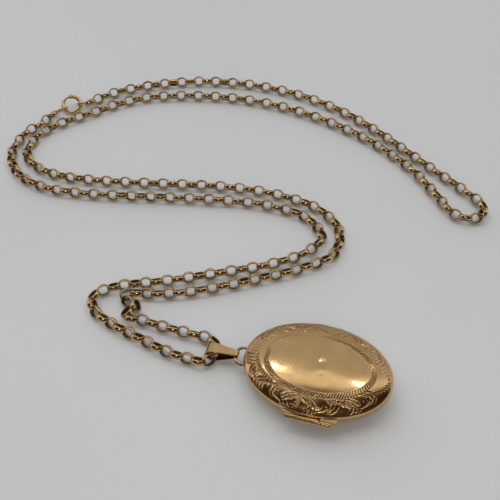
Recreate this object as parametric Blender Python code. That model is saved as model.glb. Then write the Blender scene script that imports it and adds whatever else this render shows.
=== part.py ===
"""Hinged oval locket on a round belcher chain with a bolt ring clasp, laid out on a table.

Frame: metres. The origin is the middle of the flat on the back cover, +X runs along the long
axis away from the bail, -Y is the hinge side, +Z leaves the front cover.
"""
import bpy
import bmesh
import math
from mathutils import Matrix, Vector

MM = 0.001

# ---- locket ----
HALF_LENGTH = 14.0
HALF_WIDTH = 9.7
SEAM_Z = 3.25
SEAM_GAP = 0.03
WALL = 0.35
BORDER = 4.0
OVAL_SEGMENTS = 72
# inset from the rim and height above the seam, from the rim up to the plain inner oval
SHOULDER = [(0.0, 0.50), (0.12, 0.82), (0.45, 1.20), (1.0, 1.56), (1.8, 1.89), (2.8, 2.17)]
OVAL_HEIGHT = 2.38
CROWN_HEIGHT = 3.04
BACK_FLAT = 0.52

# ---- hinge ----
HINGE_Y = -10.2
HINGE_R = 0.58
HINGE_BORE_R = 0.31
HINGE_PIN_R = 0.25
NOTCH_R = 0.63
KNUCKLE_GAP = 0.08
KNUCKLE_X = [-4.2, -1.25, 2.85, 5.8]
LEAF_LOW = 0.06
LEAF_HIGH = 0.47

# ---- hanging ring and bail ----
RING_X = -15.95
RING_Z = 2.1
RING_HALF = 1.8
RING_CORNER = 1.4
RING_ROOT_X = -13.58
RING_WIRE = 0.25
BAIL_HOLE = 0.36
BAIL_THICK = 0.28
BAIL_LOOP = (-20.1, 1.71)
BAIL_LOOP_R = 1.42
BAIL_WIDE = 2.35
BAIL_NARROW = 1.15
BAIL_SKEW = 0.07

# ---- chain ----
CHAIN_R = 1.5
CHAIN_Z = 1.55
BAIL_STRETCH_R = 1.22

# ---- bolt ring clasp ----
CLASP_CENTRE = (-79.1, 60.1, 1.37)
CLASP_R = 2.15
CLASP_TUBE = 0.48
CLASP_BORE = 0.34
CLASP_ROD = 0.27
CLASP_TILT_AXIS = (0.809, 0.588, 0.0)
CLASP_TILT_DEG = 24.0
GAP_DEG = (130.0, 170.0)
ROD_DEG = (92.0, 177.0)
PIP_DEG = 117.0
TRAVEL_DEG = 35.0
SPRING_DEG = (12.0, 54.0)
SPRING_R = 0.22
PIP_R = 0.13
END_RING_AT = (-80.97, 57.88, 1.24)
END_RING_R = 1.50
END_RING_WIRE = 0.24
END_RING_HEADING = 230.0
END_RING_LEAN = 39.0
JUMP_RING_AT = (-76.72, 61.31, 1.24)
JUMP_RING_R = 1.27
JUMP_RING_WIRE = 0.24
JUMP_RING_HEADING = 27.0
JUMP_RING_LEAN = 141.0

# Route of the chain, hand picked, in mm on the table.
NEAR_ROUTE = [(-26.3, -2.7), (-30.0, -2.2), (-36.0, -0.8), (-42.0, 0.7), (-47.0, 2.9),
              (-48.6, 6.4), (-44.6, 9.9), (-36.6, 13.2), (-29.6, 16.4), (-22.7, 19.7),
              (-15.8, 23.2), (-9.8, 27.6), (-7.0, 33.0), (-12.0, 37.8), (-19.9, 39.0),
              (-27.6, 38.6), (-35.2, 37.4), (-42.8, 36.0), (-50.4, 34.5), (-58.0, 33.1),
              (-65.6, 32.0), (-73.3, 31.9), (-81.0, 34.3), (-85.9, 40.2), (-86.0, 47.4),
              (-83.7, 51.6), (-82.8, 54.4),
              (-82.2, 56.1)]
FAR_ROUTE = [(-74.9, 62.2), (-72.0, 65.6), (-68.6, 68.4), (-63.0, 71.7), (-57.1, 74.3),
             (-49.9, 76.7), (-42.5, 78.0), (-35.0, 78.4), (-27.5, 77.9), (-20.1, 76.5),
             (-13.0, 74.2), (-6.2, 71.0), (0.4, 67.2), (6.7, 63.0), (12.9, 58.9),
             (19.0, 55.0), (24.6, 50.9), (24.6, 46.9), (19.6, 46.4), (14.9, 51.0),
             (9.6, 56.6), (3.7, 61.1), (-2.7, 64.8), (-9.6, 67.7), (-16.8, 70.0),
             (-24.2, 71.6), (-31.7, 72.4), (-39.2, 72.3), (-46.7, 71.4), (-54.1, 69.8),
             (-61.3, 67.4), (-67.6, 63.4), (-73.0, 58.4), (-78.4, 53.6), (-82.3, 48.0),
             (-82.2, 41.0), (-77.0, 37.3), (-70.1, 36.2), (-62.6, 36.8), (-55.1, 38.0),
             (-47.6, 39.4), (-40.2, 40.8), (-32.8, 42.1), (-25.3, 42.8), (-17.8, 42.6),
             (-10.0, 40.9), (-4.0, 36.2), (-3.6, 29.0), (-9.2, 23.8), (-16.0, 19.6),
             (-22.5, 15.9), (-29.3, 12.5), (-36.2, 9.5), (-40.9, 6.6), (-38.6, 3.7),
             (-33.0, 2.9), (-26.3, 2.7)]

GOLD = (0.60, 0.40, 0.17, 1.0)
CHAIN_GOLD = (0.48, 0.33, 0.14, 1.0)
CLEAR = (0.86, 0.88, 0.88, 1.0)


# ---------------------------------------------------------------- setup
for old in list(bpy.data.objects):
    bpy.data.objects.remove(old, do_unlink=True)

parts = bpy.data.collections.new("oval_locket")
tools = bpy.data.collections.new("cutters")
bpy.context.scene.collection.children.link(parts)
bpy.context.scene.collection.children.link(tools)


def material(name, colour, metallic, roughness):
    mat = bpy.data.materials.new(name)
    mat.use_nodes = True
    shader = mat.node_tree.nodes["Principled BSDF"]
    shader.inputs["Base Color"].default_value = colour
    shader.inputs["Metallic"].default_value = metallic
    shader.inputs["Roughness"].default_value = roughness
    mat.diffuse_color = colour
    return mat


def put(obj, mat=None, where=None):
    (where or parts).objects.link(obj)
    if mat:
        obj.data.materials.clear()
        obj.data.materials.append(mat)
    return obj


def mesh_object(name, bm, mat=None, where=None):
    bmesh.ops.recalc_face_normals(bm, faces=bm.faces)
    mesh = bpy.data.meshes.new(name)
    bm.to_mesh(mesh)
    bm.free()
    return put(bpy.data.objects.new(name, mesh), mat, where)


def mm(x, y, z):
    return Vector((x * MM, y * MM, z * MM))


# ---------------------------------------------------------------- lofted ovals
def oval(half_x, half_y, z):
    """One ring of points round an ellipse."""
    ring = []
    for i in range(OVAL_SEGMENTS):
        a = 2 * math.pi * i / OVAL_SEGMENTS
        ring.append(mm(half_x * math.cos(a), half_y * math.sin(a), z))
    return ring


def inset_oval(inset, z):
    return oval(HALF_LENGTH - inset, HALF_WIDTH - inset, z)


def loft(name, rings, mat=None, closed=False, where=None):
    """Skin rings of equal count; the ends are capped unless the loft closes on itself."""
    bm = bmesh.new()
    loops = [[bm.verts.new(p) for p in ring] for ring in rings]
    pairs = list(zip(loops, loops[1:]))
    if closed:
        pairs.append((loops[-1], loops[0]))
    for low, high in pairs:
        for i in range(len(low)):
            j = (i + 1) % len(low)
            bm.faces.new((low[i], low[j], high[j], high[i]))
    if not closed:
        bm.faces.new(loops[0])
        bm.faces.new(loops[-1])
    return mesh_object(name, bm, mat, where)


def cover_rings(sign, crown, flat):
    """Rings from the middle of the outside, over the rim, to the middle of the inside."""
    z = lambda h: SEAM_Z + sign * h
    a = HALF_LENGTH - BORDER
    b = HALF_WIDTH - BORDER
    rise = crown - OVAL_HEIGHT
    dome = lambda s: OVAL_HEIGHT + rise * (1 - ((s - flat) / (1 - flat)) ** 2)
    outside = [flat + (1 - flat) * k / 4 for k in range(5)]
    rings = [oval(a * s, b * s, z(dome(s))) for s in outside]
    rings += [inset_oval(d, z(h)) for d, h in reversed(SHOULDER)]
    rings.append(inset_oval(0, z(SEAM_GAP)))
    rings.append(inset_oval(WALL, z(SEAM_GAP)))
    rings.append(inset_oval(WALL, z(SHOULDER[0][1])))
    rings += [inset_oval(d + WALL * 0.9, z(h - WALL * 0.55)) for d, h in SHOULDER[1:4]]
    rings += [inset_oval(d + WALL * 0.3, z(h - WALL * 0.95)) for d, h in SHOULDER[4:]]
    rings += [oval(a * s, b * s, z(dome(s) - WALL)) for s in reversed(outside)]
    return rings


def oval_band(name, section, mat):
    """A closed oval ring with the given section of (inset, height above the seam)."""
    return loft(name, [inset_oval(d, SEAM_Z + h) for d, h in section], mat, closed=True)


# ---------------------------------------------------------------- simple solids
def rod(name, start, end, radius, mat=None, where=None, segments=24):
    """A plain round bar between two points, in mm."""
    a = mm(*start)
    b = mm(*end)
    bm = bmesh.new()
    length = (b - a).length
    bmesh.ops.create_cone(bm, cap_ends=True, segments=segments, radius1=radius * MM,
                          radius2=radius * MM, depth=length)
    turn = (b - a).to_track_quat("Z", "Y").to_matrix().to_4x4()
    bmesh.ops.transform(bm, matrix=Matrix.Translation((a + b) / 2) @ turn, verts=bm.verts)
    return mesh_object(name, bm, mat, where)


def prism(name, outline, z_low, z_high, mat=None, where=None):
    """A flat outline in mm, raised from z_low to z_high."""
    rings = [[mm(x, y, z) for x, y in outline] for z in (z_low, z_high)]
    return loft(name, rings, mat, where=where)


def boolean(obj, cutter, operation):
    mod = obj.modifiers.new(operation.lower(), "BOOLEAN")
    mod.operation = operation
    mod.solver = "EXACT"
    mod.object = cutter
    cutter.hide_render = True
    cutter.display_type = "WIRE"


def smooth_route(points, step):
    """Catmull-Rom curve through the points, read off every step mm."""
    fine = []
    count = len(points)
    for i in range(count - 1):
        p0 = Vector(points[max(i - 1, 0)])
        p1 = Vector(points[i])
        p2 = Vector(points[i + 1])
        p3 = Vector(points[min(i + 2, count - 1)])
        for k in range(24):
            t = k / 24
            fine.append(0.5 * (2 * p1 + (p2 - p0) * t + (2 * p0 - 5 * p1 + 4 * p2 - p3) * t * t
                               + (3 * p1 - p0 - 3 * p2 + p3) * t * t * t))
    fine.append(Vector(points[-1]))
    total = sum((b - a).length for a, b in zip(fine, fine[1:]))
    pieces = max(1, round(total / step))
    gap = total / pieces
    out = [fine[0]]
    run = 0.0
    for a, b in zip(fine, fine[1:]):
        run += (b - a).length
        if run >= gap and len(out) < pieces:
            out.append(b)
            run -= gap
    out.append(fine[-1])
    return out


def thin_out(points, tolerance):
    """Keep only the points that the curve needs to stay within the tolerance."""
    if len(points) < 3:
        return points
    a = points[0]
    b = points[-1]
    chord = b - a
    worst = 0.0
    at = 0
    for i in range(1, len(points) - 1):
        t = max(0.0, min(1.0, (points[i] - a).dot(chord) / max(chord.dot(chord), 1e-9)))
        off = (points[i] - a - chord * t).length
        if off > worst:
            worst = off
            at = i
    if worst <= tolerance:
        return [a, b]
    return thin_out(points[:at + 1], tolerance)[:-1] + thin_out(points[at:], tolerance)


def wire(name, points, radius, mat, closed=False, resolution=2):
    """A round wire along points in metres, turned into a mesh."""
    curve = bpy.data.curves.new(name + "_path", "CURVE")
    curve.dimensions = "3D"
    curve.bevel_depth = radius * MM
    curve.bevel_resolution = resolution
    curve.use_fill_caps = not closed
    spline = curve.splines.new("POLY")
    spline.points.add(len(points) - 1)
    for point, place in zip(spline.points, points):
        point.co = (place[0], place[1], place[2], 1.0)
    spline.use_cyclic_u = closed
    guide = bpy.data.objects.new(name + "_path", curve)
    tools.objects.link(guide)
    depsgraph = bpy.context.evaluated_depsgraph_get()
    mesh = bpy.data.meshes.new_from_object(guide.evaluated_get(depsgraph))
    bpy.data.objects.remove(guide, do_unlink=True)
    bm = bmesh.new()
    bm.from_mesh(mesh)
    bpy.data.meshes.remove(mesh)
    bmesh.ops.remove_doubles(bm, verts=bm.verts, dist=1e-7)
    return mesh_object(name, bm, mat)


# ---------------------------------------------------------------- locket
def locket_covers(gold):
    notch = rod("hinge_notch", (-6, HINGE_Y, SEAM_Z), (8, HINGE_Y, SEAM_Z), NOTCH_R, None, tools)
    back = loft("back_cover", cover_rings(-1, SEAM_Z, BACK_FLAT), gold)
    front = loft("front_cover", cover_rings(1, CROWN_HEIGHT, 0.06), gold)
    boolean(back, notch, "DIFFERENCE")
    boolean(front, notch, "DIFFERENCE")


def locket_inside(gold, clear):
    lip = [(0.45, -0.55), (0.45, 0.35), (0.52, 0.45), (0.80, 0.45), (0.80, -0.55)]
    oval_band("back_snap_lip", lip, gold)
    back_frame = [(0.90, -0.90), (0.90, -0.22), (1.02, -0.08), (1.90, -0.12), (2.0, -0.30),
                  (1.25, -0.38), (1.20, -0.90)]
    oval_band("back_picture_frame", back_frame, gold)
    front_frame = [(1.15, 1.20), (1.10, 0.68), (1.22, 0.56), (2.05, 0.60), (2.15, 0.78),
                   (1.45, 0.86), (1.45, 1.20)]
    oval_band("front_picture_frame", front_frame, gold)
    loft("back_picture_window", [inset_oval(1.30, SEAM_Z + h) for h in (-0.70, -0.45)], clear)
    loft("front_picture_window", [inset_oval(1.55, SEAM_Z + h) for h in (0.93, 1.18)], clear)


def hinge_knuckle(name, x_low, x_high, side, gold, ends):
    """A length of hinge tube with the leaf that joins it to one cover."""
    knuckle = rod(name, (x_low, HINGE_Y, SEAM_Z), (x_high, HINGE_Y, SEAM_Z), HINGE_R, gold)
    z = sorted((SEAM_Z + side * LEAF_LOW, SEAM_Z + side * LEAF_HIGH))
    outline = [(x_low, HINGE_Y), (x_high, HINGE_Y), (x_high, -8.4), (x_low, -8.4)]
    boolean(knuckle, prism(name + "_leaf", outline, z[0], z[1], None, tools), "UNION")
    rim = loft(name + "_rim", [oval(HALF_LENGTH + 0.04, HALF_WIDTH + 0.04, h) for h in (1, 6)],
               where=tools)
    boolean(knuckle, rim, "DIFFERENCE")
    bore = rod(name + "_bore", (-8, HINGE_Y, SEAM_Z), (9, HINGE_Y, SEAM_Z), HINGE_BORE_R,
               None, tools)
    boolean(knuckle, bore, "DIFFERENCE")
    for label, corner in ends:
        boolean(knuckle, prism(name + label, corner, 1.0, 6.0, None, tools), "DIFFERENCE")


def hinge(gold):
    half = KNUCKLE_GAP / 2
    x = KNUCKLE_X
    bail_end = [(-4.2, -9.6), (-3.1, -10.8), (-3.1, -12), (-7, -12), (-7, -9.6)]
    tip_end = [(5.8, -9.6), (3.95, -10.8), (3.95, -12), (8, -12), (8, -9.6)]
    hinge_knuckle("front_knuckle_bail_end", x[0], x[1] - half, 1, gold, [("_end", bail_end)])
    hinge_knuckle("front_knuckle_tip_end", x[2] + half, x[3], 1, gold, [("_end", tip_end)])
    hinge_knuckle("back_knuckle", x[1] + half, x[2] - half, -1, gold, [])
    rod("hinge_pin", (-3.35, HINGE_Y, SEAM_Z), (4.45, HINGE_Y, SEAM_Z), HINGE_PIN_R, gold,
        segments=20)


def hanging_ring(gold):
    corner_x = RING_X + RING_CORNER
    corner_y = RING_HALF - RING_CORNER
    points = [mm(RING_ROOT_X, RING_HALF, RING_Z)]
    for k in range(9):
        a = math.radians(90 + 90 * k / 8)
        points.append(mm(corner_x + math.cos(a) * RING_CORNER,
                         corner_y + math.sin(a) * RING_CORNER, RING_Z))
    points += [Vector((p.x, -p.y, p.z)) for p in reversed(points)]
    wire("hanging_ring", points, RING_WIRE, gold, resolution=3)


def belt(centre_a, radius_a, centre_b, radius_b, steps_a, steps_b):
    """Outline of a belt round two circles in the X-Z plane, as (x, z)."""
    dx = centre_a[0] - centre_b[0]
    dz = centre_a[1] - centre_b[1]
    toward = math.atan2(dz, dx)
    lean = math.acos((radius_b - radius_a) / math.hypot(dx, dz))
    outline = []
    for k in range(steps_a + 1):
        a = toward - lean + 2 * lean * k / steps_a
        outline.append((centre_a[0] + radius_a * math.cos(a),
                        centre_a[1] + radius_a * math.sin(a)))
    for k in range(steps_b + 1):
        a = toward + lean + (2 * math.pi - 2 * lean) * k / steps_b
        outline.append((centre_b[0] + radius_b * math.cos(a),
                        centre_b[1] + radius_b * math.sin(a)))
    return outline


def bail(gold):
    """A tapered strip folded into a loop, wide where the chain passes, narrow at the ring."""
    pin = (RING_X, RING_Z)
    inner = belt(BAIL_LOOP, BAIL_LOOP_R, pin, BAIL_HOLE, 26, 12)
    outer = belt(BAIL_LOOP, BAIL_LOOP_R + BAIL_THICK, pin, BAIL_HOLE + BAIL_THICK, 26, 12)
    x_wide = BAIL_LOOP[0] - BAIL_LOOP_R - BAIL_THICK
    x_narrow = RING_X + BAIL_HOLE + BAIL_THICK

    def half(x):
        t = (x - x_wide) / (x_narrow - x_wide)
        return (BAIL_WIDE + (BAIL_NARROW - BAIL_WIDE) * t) / 2

    def skew(x):
        return BAIL_SKEW * (x - RING_X)

    rings = []
    for outline, side, ease in ((outer, 1, 0.06), (outer, -1, 0.06), (inner, -1, 0), (inner, 1, 0)):
        rings.append([mm(x, side * (half(x) - ease) + skew(x), z) for x, z in outline])
    obj = loft("bail", rings, gold, closed=True)
    shift = Matrix.Translation(-mm(RING_X, 0, RING_Z))
    obj.data.transform(shift)
    obj.location = mm(RING_X, 0, RING_Z)


# ---------------------------------------------------------------- chain
def chain_tube(name, route, gold):
    points = thin_out(smooth_route(route, 1.5), 0.16)
    wire(name, [mm(p[0], p[1], CHAIN_Z) for p in points], CHAIN_R, gold)
    return len(points)


def chain_at_bail(gold):
    """The few links that hang through the bail and turn back on either side of it."""
    x = BAIL_LOOP[0]
    y = BAIL_SKEW * (x - RING_X)
    route = [(-25.9, 2.75, 1.58), (-23.4, 2.8, 1.6), (-22.0, 2.7, 1.62), (-20.75, 2.15, 1.66),
             (x, y + 1.25, 1.68), (x, y, 1.68), (x, y - 1.25, 1.68), (-20.75, -2.6, 1.66),
             (-22.0, -2.95, 1.62), (-23.4, -2.8, 1.6), (-25.9, -2.75, 1.58)]
    points = [mm(*p) for p in smooth_route(route, 0.8)]
    wire("chain_at_bail", points, BAIL_STRETCH_R, gold)


# ---------------------------------------------------------------- bolt ring clasp
def arc(radius, low, high, steps):
    """Points of an arc about the local Z axis, in metres."""
    out = []
    for k in range(steps + 1):
        a = math.radians(low + (high - low) * k / steps)
        out.append(mm(radius * math.cos(a), radius * math.sin(a), 0))
    return out


def clasp_place(obj):
    tilt = Matrix.Rotation(math.radians(CLASP_TILT_DEG), 4, Vector(CLASP_TILT_AXIS))
    obj.matrix_world = Matrix.Translation(mm(*CLASP_CENTRE)) @ tilt


def arc_tube(name, low, high, steps, outer, inner, mat):
    """A hollow curved tube with open ends."""
    sections = []
    for radius in (outer, inner):
        ring = []
        for k in range(12):
            a = 2 * math.pi * k / 12
            ring.append((radius * math.cos(a), radius * math.sin(a)))
        sections.append(ring)
    bm = bmesh.new()
    grid = []
    for ring in sections:
        rows = []
        for k in range(steps + 1):
            t = math.radians(low + (high - low) * k / steps)
            rows.append([bm.verts.new(mm((CLASP_R + u) * math.cos(t),
                                         (CLASP_R + u) * math.sin(t), w)) for u, w in ring])
        grid.append(rows)
    for rows in grid:
        for a, b in zip(rows, rows[1:]):
            for i in range(12):
                j = (i + 1) % 12
                bm.faces.new((a[i], a[j], b[j], b[i]))
    for end in (0, -1):
        a = grid[0][end]
        b = grid[1][end]
        for i in range(12):
            j = (i + 1) % 12
            bm.faces.new((a[i], a[j], b[j], b[i]))
    return mesh_object(name, bm, mat)


def thumb_slot():
    """Cutter for the slot that the thumb pip runs in, through the outer side of the tube."""
    low = PIP_DEG - TRAVEL_DEG - 7
    high = PIP_DEG + 7
    inner = arc(CLASP_R + 0.05, low, high, 10)
    outer = arc(CLASP_R + 1.2, low, high, 10)
    outline = [(p.x / MM, p.y / MM) for p in inner + list(reversed(outer))]
    return prism("thumb_slot", outline, -0.18, 0.18, None, tools)


def bolt_ring(gold):
    body = arc_tube("bolt_ring_body", GAP_DEG[1], GAP_DEG[0] + 360, 44, CLASP_TUBE, CLASP_BORE,
                    gold)
    slot = thumb_slot()
    clasp_place(slot)
    boolean(body, slot, "DIFFERENCE")
    clasp_place(body)

    trigger = wire("bolt_ring_trigger", arc(CLASP_R, ROD_DEG[0], ROD_DEG[1], 20), CLASP_ROD, gold)
    clasp_place(trigger)

    a = math.radians(PIP_DEG)
    root = CLASP_R + CLASP_ROD + 0.02
    tip = CLASP_R + CLASP_TUBE + 0.32
    pip = rod("bolt_ring_thumb_pip", (root * math.cos(a), root * math.sin(a), 0),
              (tip * math.cos(a), tip * math.sin(a), 0), PIP_R, gold, segments=14)
    clasp_place(pip)


def bolt_ring_spring(gold):
    """The spring inside the tube, drawn at its pressed length behind the trigger's travel."""
    points = []
    turns = 7
    steps = turns * 9
    for k in range(steps + 1):
        t = math.radians(SPRING_DEG[0] + (SPRING_DEG[1] - SPRING_DEG[0]) * k / steps)
        a = 2 * math.pi * turns * k / steps
        r = CLASP_R + SPRING_R * math.cos(a)
        points.append(mm(r * math.cos(t), r * math.sin(t), SPRING_R * math.sin(a)))
    spring = wire("bolt_ring_spring", points, 0.055, gold, resolution=0)
    clasp_place(spring)


def plain_ring(name, centre, radius, thick, heading, lean, gold):
    """A wire ring; its plane holds the heading line and leans from the table by lean."""
    ring = wire(name, arc(radius, 0, 337.5, 15), thick, gold, closed=True)
    turn = Matrix.Rotation(math.radians(heading), 4, "Z")
    roll = Matrix.Rotation(math.radians(lean), 4, "X")
    ring.matrix_world = Matrix.Translation(mm(*centre)) @ turn @ roll


def build():
    gold = material("locket_gold", GOLD, 1.0, 0.25)
    chain_gold = material("chain_gold", CHAIN_GOLD, 1.0, 0.35)
    clear = material("window_plastic", CLEAR, 0.0, 0.10)
    locket_covers(gold)
    locket_inside(gold, clear)
    hinge(gold)
    hanging_ring(gold)
    bail(gold)
    chain_tube("chain_run_near", NEAR_ROUTE, chain_gold)
    chain_tube("chain_run_far", FAR_ROUTE, chain_gold)
    chain_at_bail(chain_gold)
    bolt_ring(gold)
    bolt_ring_spring(gold)
    plain_ring("end_ring", END_RING_AT, END_RING_R, END_RING_WIRE, END_RING_HEADING,
               END_RING_LEAN, gold)
    plain_ring("clasp_jump_ring", JUMP_RING_AT, JUMP_RING_R, JUMP_RING_WIRE,
               JUMP_RING_HEADING, JUMP_RING_LEAN, gold)


build()
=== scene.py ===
"""Looks of the hinged oval locket on its belcher chain. Metres, in the part's own frame."""
import math
import random
import bpy
import bmesh
import numpy as np
from mathutils import Matrix, Vector


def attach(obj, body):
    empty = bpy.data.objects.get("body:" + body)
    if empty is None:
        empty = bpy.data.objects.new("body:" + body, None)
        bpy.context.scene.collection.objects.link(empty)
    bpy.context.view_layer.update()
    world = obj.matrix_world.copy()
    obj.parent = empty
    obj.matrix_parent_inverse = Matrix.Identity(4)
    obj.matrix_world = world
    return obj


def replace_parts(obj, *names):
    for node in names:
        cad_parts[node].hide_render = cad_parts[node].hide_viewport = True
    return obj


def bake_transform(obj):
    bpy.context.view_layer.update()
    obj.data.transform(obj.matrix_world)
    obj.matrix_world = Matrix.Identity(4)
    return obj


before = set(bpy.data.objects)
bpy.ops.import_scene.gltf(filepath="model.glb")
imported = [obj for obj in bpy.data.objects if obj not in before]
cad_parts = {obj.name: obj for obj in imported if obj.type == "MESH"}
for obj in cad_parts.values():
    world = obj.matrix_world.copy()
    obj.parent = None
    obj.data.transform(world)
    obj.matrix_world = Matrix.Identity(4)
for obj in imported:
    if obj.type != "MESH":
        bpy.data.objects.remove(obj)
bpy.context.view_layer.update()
MM = 0.001

# ------------ sizes, in mm, as in the solids
HALF_LENGTH, HALF_WIDTH = 14.0, 9.7
SEAM_Z, SEAM_GAP, WALL, BORDER = 3.25, 0.03, 0.35, 4.0
SHOULDER = [(0.0, 0.50), (0.12, 0.82), (0.45, 1.20), (1.0, 1.56), (1.8, 1.89), (2.8, 2.17)]
OVAL_HEIGHT, CROWN_HEIGHT, BACK_FLAT = 2.38, 3.04, 0.52
HINGE_Y, HINGE_R, HINGE_BORE_R, HINGE_PIN_R, NOTCH_R = -10.2, 0.58, 0.31, 0.25, 0.63
KNUCKLE_X, KNUCKLE_GAP, LEAF_LOW, LEAF_HIGH = [-4.2, -1.25, 2.85, 5.8], 0.08, 0.06, 0.47
RING_X, RING_Z, RING_HALF, RING_CORNER, RING_WIRE = -15.95, 2.1, 1.8, 1.4, 0.25
BAIL_HOLE, BAIL_THICK, BAIL_LOOP, BAIL_LOOP_R = 0.36, 0.28, (-20.1, 1.71), 1.42
BAIL_WIDE, BAIL_NARROW, BAIL_SKEW = 2.35, 1.15, 0.07
CLASP_CENTRE, CLASP_R, CLASP_TUBE, CLASP_BORE, CLASP_ROD = (-79.1, 60.1, 1.37), 2.15, 0.48, 0.34, 0.27
CLASP_TILT_AXIS, CLASP_TILT_DEG = (0.809, 0.588, 0.0), 24.0
GAP_DEG, ROD_DEG, PIP_DEG, TRAVEL_DEG = (130.0, 170.0), (92.0, 177.0), 117.0, 35.0
END_RING_AT, END_RING_R, END_RING_WIRE = (-80.97, 57.88, 1.24), 1.50, 0.24
JUMP_RING_AT, JUMP_RING_R, JUMP_RING_WIRE = (-76.72, 61.31, 1.24), 1.27, 0.24

NEAR_ROUTE = [(-26.3, -2.7), (-30.0, -2.2), (-36.0, -0.8), (-42.0, 0.7), (-47.0, 2.9),
              (-48.6, 6.4), (-44.6, 9.9), (-36.6, 13.2), (-29.6, 16.4), (-22.7, 19.7),
              (-15.8, 23.2), (-9.8, 27.6), (-7.0, 33.0), (-12.0, 37.8), (-19.9, 39.0),
              (-27.6, 38.6), (-35.2, 37.4), (-42.8, 36.0), (-50.4, 34.5), (-58.0, 33.1),
              (-65.6, 32.0), (-73.3, 31.9), (-81.0, 34.3), (-85.9, 40.2), (-86.0, 47.4),
              (-83.7, 51.6), (-82.8, 54.4), (-82.4, 55.4)]
# The fold near (-40, 5) is in the photograph. The tube in the solids turns smoothly there.
FAR_ROUTE = [(-74.9, 62.2), (-72.0, 65.6), (-68.6, 68.4), (-63.0, 71.7), (-57.1, 74.3),
             (-49.9, 76.7), (-42.5, 78.0), (-35.0, 78.4), (-27.5, 77.9), (-20.1, 76.5),
             (-13.0, 74.2), (-6.2, 71.0), (0.4, 67.2), (6.7, 63.0), (12.9, 58.9),
             (19.0, 55.0), (24.6, 50.9), (24.6, 46.9), (19.6, 46.4), (14.9, 51.0),
             (9.6, 56.6), (3.7, 61.1), (-2.7, 64.8), (-9.6, 67.7), (-16.8, 70.0),
             (-24.2, 71.6), (-31.7, 72.4), (-39.2, 72.3), (-46.7, 71.4), (-54.1, 69.8),
             (-61.3, 67.4), (-67.6, 63.4), (-73.0, 58.4), (-78.4, 53.6), (-82.3, 48.0),
             (-82.2, 41.0), (-77.0, 37.3), (-70.1, 36.2), (-62.6, 36.8), (-55.1, 38.0),
             (-47.6, 39.4), (-40.2, 40.8), (-32.8, 42.1), (-25.3, 42.8), (-17.8, 42.6),
             (-10.0, 40.9), (-4.0, 36.2), (-3.6, 29.0), (-9.2, 23.8), (-16.0, 19.6),
             (-22.5, 15.9), (-29.3, 12.5), (-35.4, 10.2), (-38.9, 9.4), (-41.3, 8.9),
             (-42.5, 7.8), (-41.6, 6.8), (-40.2, 6.6), (-39.2, 5.8), (-39.8, 4.8), (-40.4, 3.9), (-39.6, 3.0),
             (-38.2, 3.1), (-36.3, 3.2), (-33.0, 2.9), (-26.3, 2.7)]
BAIL_ROUTE = [(-26.3, -2.7, 1.25), (-23.8, -2.75, 1.27), (-21.7, -2.75, 1.3), (-20.5, -1.7, 1.5),
              (-20.15, -0.28, 1.62), (-20.5, 1.25, 1.55), (-21.6, 2.3, 1.35), (-23.7, 2.75, 1.27),
              (-26.3, 2.7, 1.25)]
CHAIN_Z = 1.25

# ------------ sizes of the visual model only
LINK_SIDES, LINK_LEAN_DEG, LINK_SIGHT = 26, 45, 0.9
TWIST_KEPT, TWIST_STEP_DEG, LOOSE_DEG = 0.82, 3, 2.5
TABLE_GAP, MOST_DROP = 0.03, 0.1
BAIL_MIDDLE, BAIL_REACH = BAIL_ROUTE[4], 18.6
LINK_PITCH, LINK_IN, LINK_OUT, LINK_BAND, LINK_OVAL = 2.243, 1.14, 1.51, 1.12, 0.27
STRIP_WIDE, CUT_ZONE = 5.8, (0.02, 5.7)
# How much the locket's colour is darkened: in the cuts, in the tick rows, extra on the near side's tick rows,
# and evenly over the band. The cut and tick darkening is partly dirt, partly painted shade; the near-side
# extra is painted shade only.
CUT_FULL_DEPTH, CUT_DARK, MARK_DARK, NEAR_SIDE_PAINTED_SHADE, BORDER_DARK = 0.12, 0.72, 0.45, 0.40, 0.14
KNUCKLE_CHAMFER, REAL_EDGE_DEG, LEAF_END_Y, TOOL_Z = 0.10, 35, -8.4, (1, 6)
PIN_X, NOTCH_REACH_X = (-3.35, 4.45), 4
RING_SKIN_WIRE = RING_WIRE + 0.04
# Painted shade inside the bail loop starts at this x and fades in over this length.
BAIL_DARK_FROM_X, BAIL_DARK_OVER = -21.0, 0.9
SPRING_TURNS, SPRING_DEG, SPRING_COIL_R, SPRING_WIRE = 7, (12.0, 46.0), 0.22, 0.055
PIP_WIRE, PIP_STANDS_OUT = 0.13, 0.24
END_RING_TURN, JUMP_RING_TURN = (230.0, 39.0), (27.0, 141.0)
SPECK_SHARE, BUMP_DEPTH = 0.35, 0.00002

# The camera was fitted to the photograph. Its place is in mm, its turns in degrees.
CAMERA_AT, CAMERA_HEADING, CAMERA_PITCH, CAMERA_ROLL = (14.43, -68.76, 126.5), -20.5, 51.15, 4.75
SENSOR_MM, LENS_MM = 36, 54.36


def mm(x, y, z):
    return Vector((x * MM, y * MM, z * MM))


# ------------ camera
def camera():
    """Looks down 51 degrees from the hinge side, turned a little."""
    heading = math.radians(CAMERA_HEADING)
    pitch = math.radians(CAMERA_PITCH)
    roll = math.radians(CAMERA_ROLL)
    forward = Vector((math.cos(pitch) * math.sin(heading), math.cos(pitch) * math.cos(heading),
                      -math.sin(pitch)))
    level = Vector((math.cos(heading), -math.sin(heading), 0))
    upright = level.cross(forward)
    right = level * math.cos(roll) - upright * math.sin(roll)
    up = level * math.sin(roll) + upright * math.cos(roll)
    data = bpy.data.cameras.new("camera")
    data.sensor_width = SENSOR_MM
    data.lens = LENS_MM
    data.clip_start = 0.005
    data.clip_end = 20
    cam = bpy.data.objects.new("camera", data)
    bpy.context.scene.collection.objects.link(cam)
    basis = Matrix((right, up, -forward)).transposed().to_4x4()
    cam.matrix_world = Matrix.Translation(mm(*CAMERA_AT)) @ basis
    bpy.context.scene.camera = cam


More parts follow.
